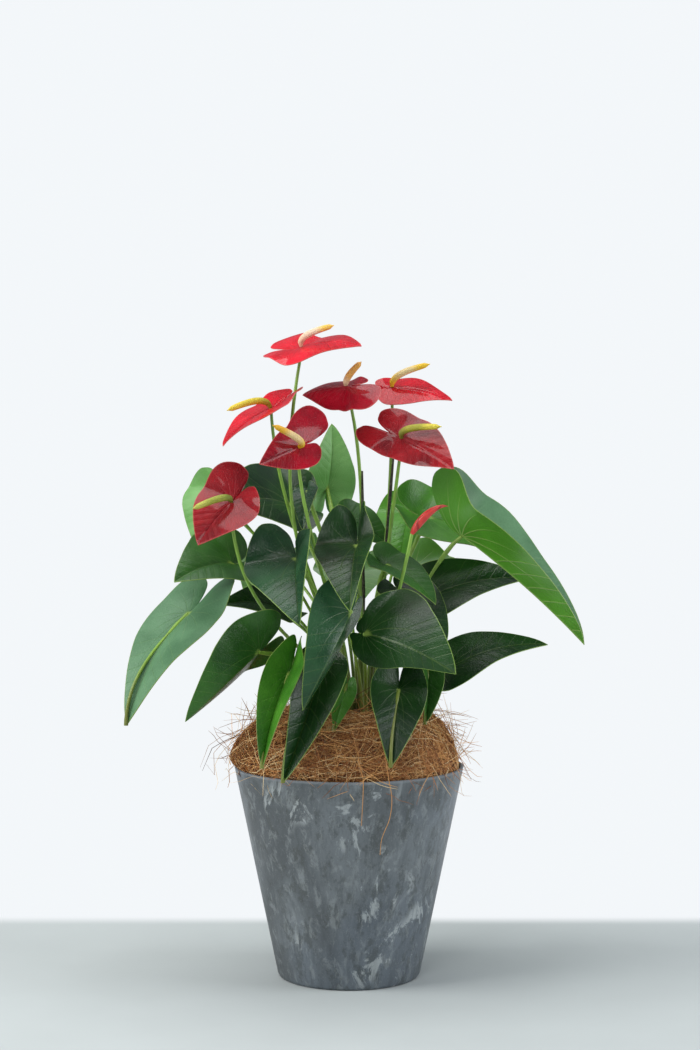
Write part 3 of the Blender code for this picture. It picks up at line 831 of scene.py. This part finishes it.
def makeCoirStrands(bed, name, seed):
    plan = coirPlan
    thin, thick, looseShare, dark, middle, light = plan["layers"][name]
    draw = random.Random(seed)
    surface = BVHTree.FromPolygons([v.co.copy() for v in bed.data.vertices],
                                   [tuple(p.vertices) for p in bed.data.polygons])
    stalks = Vector(plan["stalksAt"])
    skyFaces = [p for p in bed.data.polygons if p.normal.z > -0.10 and p.center.z > plan["lowest"]
                and (p.center.xy - stalks).length > plan["stalksRadius"]]
    weights = [p.area * (1.0 + 0.7 * (p.center.y < 0.02)) for p in skyFaces]
    corners = []
    faces = []
    tints = []
    for start in draw.choices(skyFaces, weights=weights, k=plan["strands"]):
        path = strandPath(start, surface, looseShare, draw)
        addStrand(path, draw.uniform(thin, thick), corners, faces)
        tint = draw.random() ** 1.3
        tints.extend([tint] * (len(faces) - len(tints)))
    mesh = bpy.data.meshes.new(name)
    mesh.from_pydata(corners, [], faces)
    layer = mesh.uv_layers.new(name="rod")
    for polygon, tint in zip(mesh.polygons, tints):
        for loop in polygon.loop_indices:
            layer.data[loop].uv = (0.5, tint)
    strands = pieceFrom(name, mesh)
    activate(strands)
    openForEditing()
    closeWithSkinOut()
    mesh.materials.append(coirMatter(name, dark, middle, light, False))
    smoothShade(strands, 80)
    settle(strands, "coir")


# two long strands hang over the lip in front
hangingRoutes = (
    [(0.008, -0.120, 0.300), (0.014, -0.138, 0.272), (0.0165, -0.1415, 0.262), (0.0165, -0.1395, 0.246),
     (0.0155, -0.1350, 0.225), (0.0145, -0.1315, 0.206)],
    [(0.040, -0.118, 0.298), (0.045, -0.134, 0.270), (0.0465, -0.1370, 0.260), (0.050, -0.1330, 0.238),
     (0.0475, -0.1290, 0.214), (0.0385, -0.1260, 0.190), (0.0365, -0.1215, 0.170)],
)
hangingPlan = {"steps": 6, "radii": (0.0004, 0.00045, 0.0004, 0.0003)}


def makeHangingStrands(master, material):
    # a smooth curve through every point of each route
    steps = hangingPlan["steps"]
    for k, route in enumerate(hangingRoutes):
        path = [Vector(p) for p in route]
        fine = []
        for a in range(len(path) - 1):
            before = path[max(a - 1, 0)]
            after = path[min(a + 2, len(path) - 1)]
            for n in range(steps):
                t = n / steps
                fine.append(0.5 * ((2 * path[a]) + (path[a + 1] - before) * t
                                   + (2 * before - 5 * path[a] + 4 * path[a + 1] - after) * t * t
                                   + (3 * path[a] - before - 3 * path[a + 1] + after) * t ** 3))
        fine.append(path[-1])
        strand = makeRod("hangingStrand" + str(k + 1), master, fine, hangingPlan["radii"], material)
        smoothShade(strand, 80)
        settle(strand, "coir")


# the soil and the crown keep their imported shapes: dark and light colour, grain scale and depth
earthLooks = {
    "potting_soil": ("darkPeat", (0.010, 0.007, 0.005), (0.055, 0.036, 0.022), 160.0, 0.003),
    "root_crown": ("crownBark", (0.035, 0.020, 0.008), (0.20, 0.13, 0.05), 120.0, 0.002),
}


def earthMatter(name, dark, light, scale, depth):
    material, tree, shader = newMaterial(name)
    grain = cloud(tree, objectPlace(tree), scale, 6.0, 0.7)
    paint(tree, shader, blendColour(tree, fade(tree, grain, 0.35, 0.68), dark, light), 0.9)
    addBump(tree, shader, grain, 0.8, depth)
    return material


def finishPackedNodes():
    for node, look in earthLooks.items():
        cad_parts[node].material_slots[0].material = earthMatter(*look)


leafPlain = dict(heart="leaf", wide=0.42, fold=(14, 14), curl=(-3, -3), arch=0.10, lift=25, lobes=(1.0, 1.0),
                 halves=(1.0, 1.0), ruffle=0.006)
# each leaf's tone picks a copy of the green; some copies are painted reflection, sheen or backlight
leafPlaces = {
    "01": dict(tone="grey", joint=(-0.193, -0.050, 0.447), tip=(-0.262, -0.110, 0.321),
               face=(-0.45, -0.70, 0.55), wide=0.27, halves=(1.3, 1.0), lift=10, lobes=(1.15, 1.0)),
    "02": dict(tone="mid", joint=(-0.105, -0.120, 0.408), tip=(-0.188, -0.170, 0.333),
               face=(0.0, -1.0, 0.05), wide=0.38, fold=(-80, 15)),
    "03": dict(tone="deep", joint=(-0.073, 0.075, 0.572), tip=(-0.160, 0.0, 0.572),
               face=(-0.20, -0.50, 0.80), wide=0.52, halves=(0.8, 1.1), fold=(-25, 36), lobes=(0.9, 1.0)),
    "04": dict(tone="blue", joint=(-0.063, -0.075, 0.515), tip=(-0.056, -0.175, 0.443),
               face=(-0.15, -0.60, 0.80), wide=0.46, halves=(0.75, 1.1), fold=(60, 5), lift=35,
               lobes=(0.5, 1.0)),
    "05": dict(tone="deep", joint=(0.009, -0.070, 0.530), tip=(0.001, -0.165, 0.460),
               face=(-0.10, -0.60, 0.80), halves=(0.45, 1.0), fold=(25, 8), lift=45, lobes=(1.4, 1.0)),
    "06": dict(tone="blue", joint=(0.003, -0.135, 0.457), tip=(-0.053, -0.190, 0.348),
               face=(0.0, -1.0, 0.0), wide=0.35, fold=(-75, 10), arch=0.18, lift=10,
               via=(-0.012, -0.115, 0.450)),
    "07": dict(tone="deep", joint=(0.018, -0.125, 0.430), tip=(0.122, -0.190, 0.390),
               face=(0.05, -0.80, 0.60), wide=0.48, halves=(1.25, 0.6), fold=(8, -50), lobes=(0.4, 0.45)),
    "08": dict(tone="mid", joint=(0.046, -0.040, 0.505), tip=(0.103, -0.078, 0.460),
               face=(0.30, -0.50, 0.80), wide=0.38, via=(0.030, 0.005, 0.480)),
    "09": dict(tone="grey", joint=(0.137, -0.010, 0.538), tip=(0.283, -0.030, 0.407),
               face=(0.67, 0.0, 0.75), wide=0.38, fold=(62, 42), curl=(-6, -6), arch=0.03,
               via=(0.120, 0.0, 0.530)),
    "10": dict(tone="bright", joint=(0.098, 0.080, 0.557), tip=(0.207, 0.080, 0.500),
               face=(0.20, -0.60, 0.80), via=(0.080, 0.105, 0.520)),
    "11": dict(tone="deep", joint=(0.094, 0.032, 0.459), tip=(0.222, 0.045, 0.483), face=(0.0, -0.60, 0.80),
               wide=0.38, lobes=(0.55, 0.55)),
    "12": dict(tone="deep", joint=(0.116, -0.035, 0.378), tip=(0.240, -0.035, 0.410),
               face=(-0.10, -0.50, 0.85), wide=0.29, fold=(20, 0)),
    "13": dict(tone="deep", joint=(0.058, -0.110, 0.362), tip=(0.048, -0.160, 0.279),
               face=(0.05, -0.95, 0.30), wide=0.36, fold=(20, 20)),
    "14": dict(tone="mid", joint=(0.094, -0.060, 0.380), tip=(0.090, -0.080, 0.318),
               face=(0.30, -0.80, 0.20), wide=0.34, fold=(50, 50)),
    "15": dict(tone="bright", joint=(-0.070, -0.140, 0.385), tip=(-0.100, -0.175, 0.280),
               face=(-0.30, -0.90, 0.20), wide=0.26, fold=(45, 45)),
    "16": dict(tone="deep", joint=(-0.032, -0.110, 0.390), tip=(-0.076, -0.165, 0.262),
               face=(0.15, -0.98, 0.10), wide=0.25, fold=(45, 30), lobes=(0.4, 0.4)),
    "17": dict(tone="bright", joint=(-0.005, -0.085, 0.358), tip=(-0.018, -0.110, 0.314),
               face=(0.0, -0.90, 0.30), wide=0.28, via=(0.008, -0.045, 0.390)),
    "18": dict(tone="fresh", joint=(-0.028, 0.150, 0.590), tip=(-0.022, 0.150, 0.674),
               face=(0.35, -0.90, 0.10), wide=0.42),
    "19": dict(tone="blue", joint=(-0.052, 0.021, 0.592), tip=(-0.056, -0.020, 0.545),
               face=(-0.20, -0.50, 0.80), wide=0.26, lift=38, lobes=(0.6, 0.6)),
    "20": dict(tone="mid", joint=(0.002, 0.065, 0.553), tip=(0.052, 0.070, 0.520), face=(0.10, -0.70, 0.70),
               wide=0.48),
    "21": dict(tone="bright", joint=(0.077, 0.150, 0.556), tip=(0.062, 0.085, 0.490),
               face=(-0.10, -0.80, 0.45), wide=0.45, fold=(40, 5)),
    "22": dict(tone="deep", joint=(0.062, -0.025, 0.474), tip=(0.116, -0.072, 0.414),
               face=(0.40, -0.70, 0.60), lobes=(0.6, 0.6)),
    "23": dict(tone="mid", joint=(-0.143, -0.010, 0.505), tip=(-0.207, -0.080, 0.488),
               face=(-0.20, -0.85, 0.50), wide=0.55),
    "24": dict(tone="deep", joint=(-0.085, 0.020, 0.448), tip=(-0.157, -0.010, 0.455),
               face=(-0.10, -0.60, 0.70)),
    "25": dict(tone="fresh", joint=(-0.169, 0.085, 0.588), tip=(-0.187, 0.035, 0.521),
               face=(-0.30, -0.70, 0.60)),
    "26": dict(tone="mid", joint=(0.085, 0.180, 0.490), tip=(0.130, 0.270, 0.420), face=(0.20, 0.60, 0.80)),
    "27": dict(tone="mid", joint=(-0.085, 0.130, 0.500), tip=(-0.130, 0.235, 0.430),
               face=(-0.20, 0.60, 0.80), wide=0.38),
    "28": dict(tone="mid", joint=(0.005, 0.170, 0.480), tip=(0.005, 0.280, 0.420), face=(0.0, 0.50, 0.80)),
}
leafPlan = {"thickness": 0.0009, "stalk": 0.0021, "knuckle": 0.0030, "sunk": 0.0004,
            "shares": (1.25, 1.0, 0.95, 0.92, 0.90, 0.92, 0.95), "neck": 0.72}
stalkGreens = {
    # low and high colour, and the heights between which they change
    "stalkGreen": ((0.17, 0.20, 0.035), (0.24, 0.42, 0.055), 0.33, 0.42),
    "stemGreen": ((0.15, 0.17, 0.030), (0.21, 0.40, 0.050), 0.34, 0.50),
}


def makeLeaves(fan, rod):
    plan = leafPlan
    rim = mottled("leafRim", rimGreen, (0.26, 0.38, 0.09), 0.4)
    green = plainGreen("stalkGreen", *stalkGreens["stalkGreen"])
    radii = [plan["stalk"] * share for share in plan["shares"]]
    radii += [plan["knuckle"], plan["knuckle"] * plan["neck"]]
    for key, place in leafPlaces.items():
        spec = {**leafPlain, **place}
        node = "leaf_" + key
        skins = (cached(leafTop, spec["tone"]), cached(leafUnder, spec["tone"]), rim)
        blade, bend = makeBlade("glossyLeaf" + key, fan, spec, plan["thickness"], skins, int(key))
        path = petiolePath(footOf(node), bend.joint, spec.get("via"))
        path[-1] = path[-1] - bend.midrib(0.0)[1] * plan["sunk"]
        mergeInto(blade, makeRod("stalk" + key, rod, path, radii, green))
        smoothShade(blade)
        settle(blade, "leaf_green", node)
    print("leaves:", len(leafPlaces))


bloomPlain = dict(heart="spathe", wide=0.58, fold=(8, 8), curl=(-4, -4), arch=0.06, lift=12, lobes=(1.0, 1.0),
                  halves=(1.0, 1.0), ruffle=0.009)
bloomPlaces = {
    "1": dict(red="scarlet", spike="cream", joint=(-0.057, -0.010, 0.767), tip=(0.015, -0.050, 0.768),
              face=(0.0, -0.50, 0.87), wide=0.60, halves=(1.0, 0.9), fold=(-8, 2), lobes=(1.25, 1.0),
              end=(-0.018, -0.030, 0.792), via=(-0.112, -0.015, 0.480)),
    "2": dict(red="scarlet", spike="golden", joint=(-0.094, -0.030, 0.693), tip=(-0.150, -0.065, 0.648),
              face=(-0.49, -0.28, 0.83), wide=0.50, end=(-0.145, -0.060, 0.690),
              via=(-0.090, 0.045, 0.550)),
    "3": dict(red="crimson", spike="orange", joint=(-0.004, 0.0, 0.720), tip=(-0.057, 0.015, 0.709),
              face=(0.10, -0.45, 0.88), halves=(1.2, 0.8), fold=(-20, -8), lobes=(1.6, 0.9),
              end=(0.015, -0.012, 0.749), via=(0.028, 0.045, 0.620)),
    "4": dict(red="scarlet", spike="lemon", joint=(0.053, 0.035, 0.719), tip=(0.126, 0.010, 0.703),
              face=(0.0, -0.45, 0.90), wide=0.40, fold=(0, -14), lobes=(0.6, 0.5),
              end=(0.099, 0.020, 0.747)),
    "5": dict(red="crimson", spike="amber", joint=(-0.059, -0.092, 0.647), tip=(-0.104, -0.125, 0.628),
              face=(0.22, -0.97, 0.10), wide=0.62, halves=(0.8, 0.74), fold=(26, 0), lift=0,
              lobes=(0.95, 2.1), end=(-0.088, -0.142, 0.673), via=(-0.062, -0.080, 0.560)),
    "6": dict(red="dull", spike="olive", joint=(0.063, -0.050, 0.657), tip=(0.123, -0.100, 0.621),
              face=(0.0, -0.80, 0.60), wide=0.60, halves=(0.7, 0.55), fold=(8, -15), lift=12,
              lobes=(1.1, 1.4), end=(0.109, -0.085, 0.671), via=(0.050, 0.005, 0.540)),
    "7": dict(red="dull", spike="lime", joint=(-0.139, -0.080, 0.582), tip=(-0.177, -0.110, 0.533),
              face=(-0.35, -0.90, 0.25), wide=0.58, lobes=(0.8, 1.35), end=(-0.183, -0.110, 0.575)),
}
spikeLooks = {
    # colour at the foot, along the middle and at the tip
    "cream": ((0.88, 0.62, 0.42), (0.92, 0.70, 0.50), (0.95, 0.58, 0.02)),
    "golden": ((0.50, 0.48, 0.04), (0.80, 0.62, 0.03), (0.92, 0.66, 0.04)),
    "orange": ((0.90, 0.62, 0.38), (0.90, 0.42, 0.05), (0.90, 0.42, 0.03)),
    "lemon": ((0.92, 0.58, 0.02), (0.95, 0.78, 0.42), (0.95, 0.62, 0.02)),
    "amber": ((0.95, 0.60, 0.01), (0.95, 0.72, 0.40), (0.95, 0.48, 0.02)),
    "olive": ((0.22, 0.22, 0.02), (0.42, 0.40, 0.02), (0.88, 0.74, 0.06)),
    "lime": ((0.20, 0.26, 0.03), (0.42, 0.46, 0.05), (0.62, 0.62, 0.10)),
}
bloomPlan = {
    "thickness": 0.0009, "stem": 0.0023, "stemShares": (1.15, 1.0, 0.95, 0.92, 0.95, 0.80),
    "stemClimbs": 0.25, "stemArrives": 0.55, "stemGap": 0.0012,
    "spike": 0.0041, "spikeSteps": 14, "spikeGap": 0.0010,
    "spikeShares": (0.55, 0.92, 1.0, 1.02, 1.0, 0.96, 0.90, 0.80, 0.10),
}


def makeSpike(key, spec, bend, master):
    # the spike leaves the sheet square to it, and then leans towards its end
    normal = bend.midrib(0.0)[1]
    base = bend.joint + normal * bloomPlan["spikeGap"]
    end = Vector(spec["end"])
    reach = end - base
    path = bezier(base, base + normal * reach.length * 0.30,
                  end - reach * 0.35 + normal * reach.length * 0.10, end, bloomPlan["spikeSteps"])
    skin = cached(spadixSkin, "spike_" + spec["spike"], *spikeLooks[spec["spike"]])
    radii = [bloomPlan["spike"] * share for share in bloomPlan["spikeShares"]]
    spike = makeRod("spike" + key, master, path, radii, skin)
    smoothShade(spike)
    settle(spike, "spadix_yellow", "bloom_" + key + "_spadix")


def makeStem(name, node, end, via, climbs, radii, master, material):
    foot = footOf(node)
    droop = Vector((0.0, 0.0, bloomPlan["stemArrives"] * (end - foot).length))
    turning = Vector(via) if via else end - droop
    stem = makeRod(name, master, stalkPath(foot, end, turning, climbs), radii, material)
    smoothShade(stem)
    settle(stem, "stem_green", node)


def makeBlooms(fan, rod, spikeRod, stemGreen):
    plan = bloomPlan
    edge = mottled("spatheEdge", (0.50, 0.03, 0.03), (0.75, 0.16, 0.13), 0.3)
    radii = [plan["stem"] * share for share in plan["stemShares"]]
    for key, place in bloomPlaces.items():
        spec = {**bloomPlain, **place}
        skins = (cached(spatheFace, spec["red"]), cached(spatheBack, spec["red"]), edge)
        spathe, bend = makeBlade("redSpathe" + key, fan, spec, plan["thickness"], skins, 60 + int(key))
        smoothShade(spathe)
        settle(spathe, "spathe_red", "bloom_" + key + "_spathe")
        makeSpike(key, spec, bend, spikeRod)
        top = bend.joint - bend.midrib(0.0)[1] * plan["stemGap"]
        makeStem("bloomStem" + key, "bloom_" + key + "_stem", top, spec.get("via"), plan["stemClimbs"], radii,
                 rod, stemGreen)
    print("blooms:", len(bloomPlaces))


budPlace = {"joint": (0.074, -0.09, 0.545), "tip": (0.116, -0.10, 0.578), "via": (0.050, -0.095, 0.420)}
budPlan = {"rise": 0.012, "steps": 14,
           "stemClimbs": 0.30, "stemRadii": (0.0022, 0.0019, 0.0019, 0.0020, 0.0022),
           "radii": (0.0024, 0.0040, 0.0047, 0.0049, 0.0046, 0.0040, 0.0030, 0.0018, 0.0004)}


def budSkin():
    # a rolled sheet: the overlap winds round it as a dark line of painted shade
    material, tree, shader = newMaterial("rolledRed")
    _, along, around = uvParts(tree, "rod")
    wind = calc(tree, "FRACT", timesPlus(tree, along, 1.6, around))
    # painted shade: the crease along the winding overlap is darkened
    overlapShade = fade(tree, calc(tree, "ABSOLUTE", calc(tree, "SUBTRACT", wind, 0.5)), 0.10, 0.0)
    shade = cloud(tree, objectPlace(tree), 180.0)
    colour = blendColour(tree, shade, (0.50, 0.010, 0.015), (0.74, 0.060, 0.040))
    paint(tree, shader, tinge(tree, colour, overlapShade, 0.6, (0.20, 0.0, 0.01)), 0.28)
    shader.inputs["Coat Weight"].default_value = 0.25
    addBump(tree, shader, calc(tree, "SUBTRACT", wind, overlapShade), 0.8, 0.0012)
    return material


def makeBud(rod, spikeRod, stemGreen):
    base = Vector(budPlace["joint"])
    tip = Vector(budPlace["tip"])
    up = Vector((0.0, 0.0, budPlan["rise"]))
    path = bezier(base, base.lerp(tip, 0.3) + up, base.lerp(tip, 0.7) + up, tip, budPlan["steps"])
    roll = makeRod("rolledBud", spikeRod, path, budPlan["radii"], budSkin())
    smoothShade(roll)
    settle(roll, "spathe_red", "bud_spathe")
    makeStem("budStem", "bud_stem", base, budPlace["via"], budPlan["stemClimbs"], budPlan["stemRadii"],
             rod, stemGreen)


stickTops = {"stake_1": (0.016, 0.0, 0.617), "stake_2": (0.055, 0.03, 0.639)}
stickPlan = {"radius": 0.0018,
             "knots": (1.1, 0.9, 1.15, 0.88, 1.0, 0.85, 1.2, 0.9, 1.0, 0.86, 1.25, 0.9, 0.7)}


def makeSticks(rod):
    bark = earthMatter("dryStick", (0.015, 0.014, 0.010), (0.085, 0.080, 0.050), 260.0, 0.0008)
    radii = [stickPlan["radius"] * share for share in stickPlan["knots"]]
    for node, top in stickTops.items():
        foot = footOf(node)
        path = upright([foot.lerp(Vector(top), k / 12) for k in range(13)])
        stick = makeRod("support_" + node, rod, path, radii, bark)
        smoothShade(stick)
        settle(stick, "stake_bark", node)


cameraPlan = {"place": (0.0012, -2.8, 0.682), "pitch": 0.0467, "lens": 79.0, "sensor": 36.0}
lampPlan = {
    # place, aim, width, power, colour
    "leftLamp": ((-2.1, -0.7, 1.5), (0.0, 0.0, 0.45), 1.5, 46.0, (1.0, 0.99, 0.97)),
    "rightLamp": ((2.2, -0.5, 1.2), (0.0, 0.0, 0.40), 1.4, 30.0, (0.96, 0.98, 1.0)),
    "topLamp": ((-0.2, 0.1, 2.4), (0.0, 0.0, 0.50), 1.4, 26.0, (1.0, 1.0, 1.0)),
    "frontLamp": ((-0.6, -3.0, 2.2), (0.0, 0.0, 0.40), 1.2, 20.0, (1.0, 1.0, 1.0)),
}
floorPlan = {"size": 14.0, "drop": 0.0004, "near": (0.50, 0.54, 0.54), "far": (0.90, 0.93, 0.955),
             "turnsPale": (0.27, 0.33), "fadesOut": (1.6, 3.2)}
worldPlan = {"colour": (0.86, 0.92, 1.0), "strength": 0.26}


def makeCameraAndLamps():
    deselectAll()
    plan = cameraPlan
    bpy.ops.object.camera_add(location=plan["place"], rotation=(math.pi / 2 - plan["pitch"], 0.0, 0.0))
    camera = bpy.context.object
    camera.data.lens = plan["lens"]
    camera.data.sensor_width = plan["sensor"]
    bpy.context.scene.camera = camera
    for name, (place, aim, width, power, colour) in lampPlan.items():
        bpy.ops.object.light_add(type="AREA", location=place)
        lamp = bpy.context.object
        lamp.name = name
        lamp.data.size = width
        lamp.data.energy = power
        lamp.data.color = colour
        lamp.rotation_euler = (Vector(aim) - Vector(place)).to_track_quat("-Z", "Y").to_euler()


def mixShaders(tree, amount, first, second, output):
    pick = tree.nodes.new("ShaderNodeMixShader")
    for source, socket in zip((amount, first, second), pick.inputs):
        tree.links.new(source, socket)
    tree.links.new(pick.outputs["Shader"], output.inputs["Surface"])


def makeFloor():
    # a pale floor that turns into the backdrop's colour behind the pot and far out
    bpy.ops.mesh.primitive_plane_add(size=floorPlan["size"], location=(0.0, 0.0, -floorPlan["drop"]))
    floor = bpy.context.object
    floor.name = "paleFloor"
    material, tree, shader = newMaterial("paleFloor")
    place = objectPlace(tree)
    x, y, _ = splitParts(tree, place)
    pale = calc(tree, "MAXIMUM", fade(tree, y, *floorPlan["turnsPale"]),
                fade(tree, distance(tree, x, y), *floorPlan["fadesOut"]))
    near = floorPlan["near"]
    paint(tree, shader, blendColour(tree, cloud(tree, place, 5.0, 4.0), near, toned(near, 1.14)), 0.7)
    shader.inputs["Specular IOR Level"].default_value = 0.2
    glow = tree.nodes.new("ShaderNodeEmission")
    glow.inputs["Color"].default_value = (*floorPlan["far"], 1.0)
    mixShaders(tree, pale, shader.outputs["BSDF"], glow.outputs["Emission"], tree.nodes["Material Output"])
    floor.data.materials.append(material)


def makeWorld():
    # soft dim light all round, behind a backdrop of the floor's far colour
    world = bpy.data.worlds.new("paleStudio")
    world.use_nodes = True
    tree = world.node_tree
    glow = tree.nodes["Background"]
    glow.inputs["Color"].default_value = (*worldPlan["colour"], 1.0)
    glow.inputs["Strength"].default_value = worldPlan["strength"]
    backdrop = tree.nodes.new("ShaderNodeBackground")
    backdrop.inputs["Color"].default_value = (*floorPlan["far"], 1.0)
    seen = tree.nodes.new("ShaderNodeLightPath").outputs["Is Camera Ray"]
    mixShaders(tree, seen, glow.outputs["Background"], backdrop.outputs["Background"],
               tree.nodes["World Output"])
    bpy.context.scene.world = world
    bpy.context.scene.view_settings.view_transform = "Standard"


makeCameraAndLamps()
makeFloor()
makeWorld()
print("camera, lamps and floor set")
makePlanter()
finishPackedNodes()
coirBed = makeCoirBed()
for layer, name in enumerate(coirPlan["layers"]):
    makeCoirStrands(coirBed, name, coirPlan["seed"] + layer)
print("planter and coir made")
bladeFan = makeFan()
stalkRod = makeRodMaster("stalkRod", 26, 12)
spikeRod = makeRodMaster("spikeRod", 28, 24)
stemGreen = plainGreen("stemGreen", *stalkGreens["stemGreen"])
makeLeaves(bladeFan, stalkRod)
makeBlooms(bladeFan, stalkRod, spikeRod, stemGreen)
makeBud(stalkRod, spikeRod, stemGreen)
makeSticks(stalkRod)
makeHangingStrands(stalkRod, bpy.data.materials["coirUpper"])
for master in (bladeFan, stalkRod, spikeRod):
    bpy.data.objects.remove(master, do_unlink=True)
print("plant made")
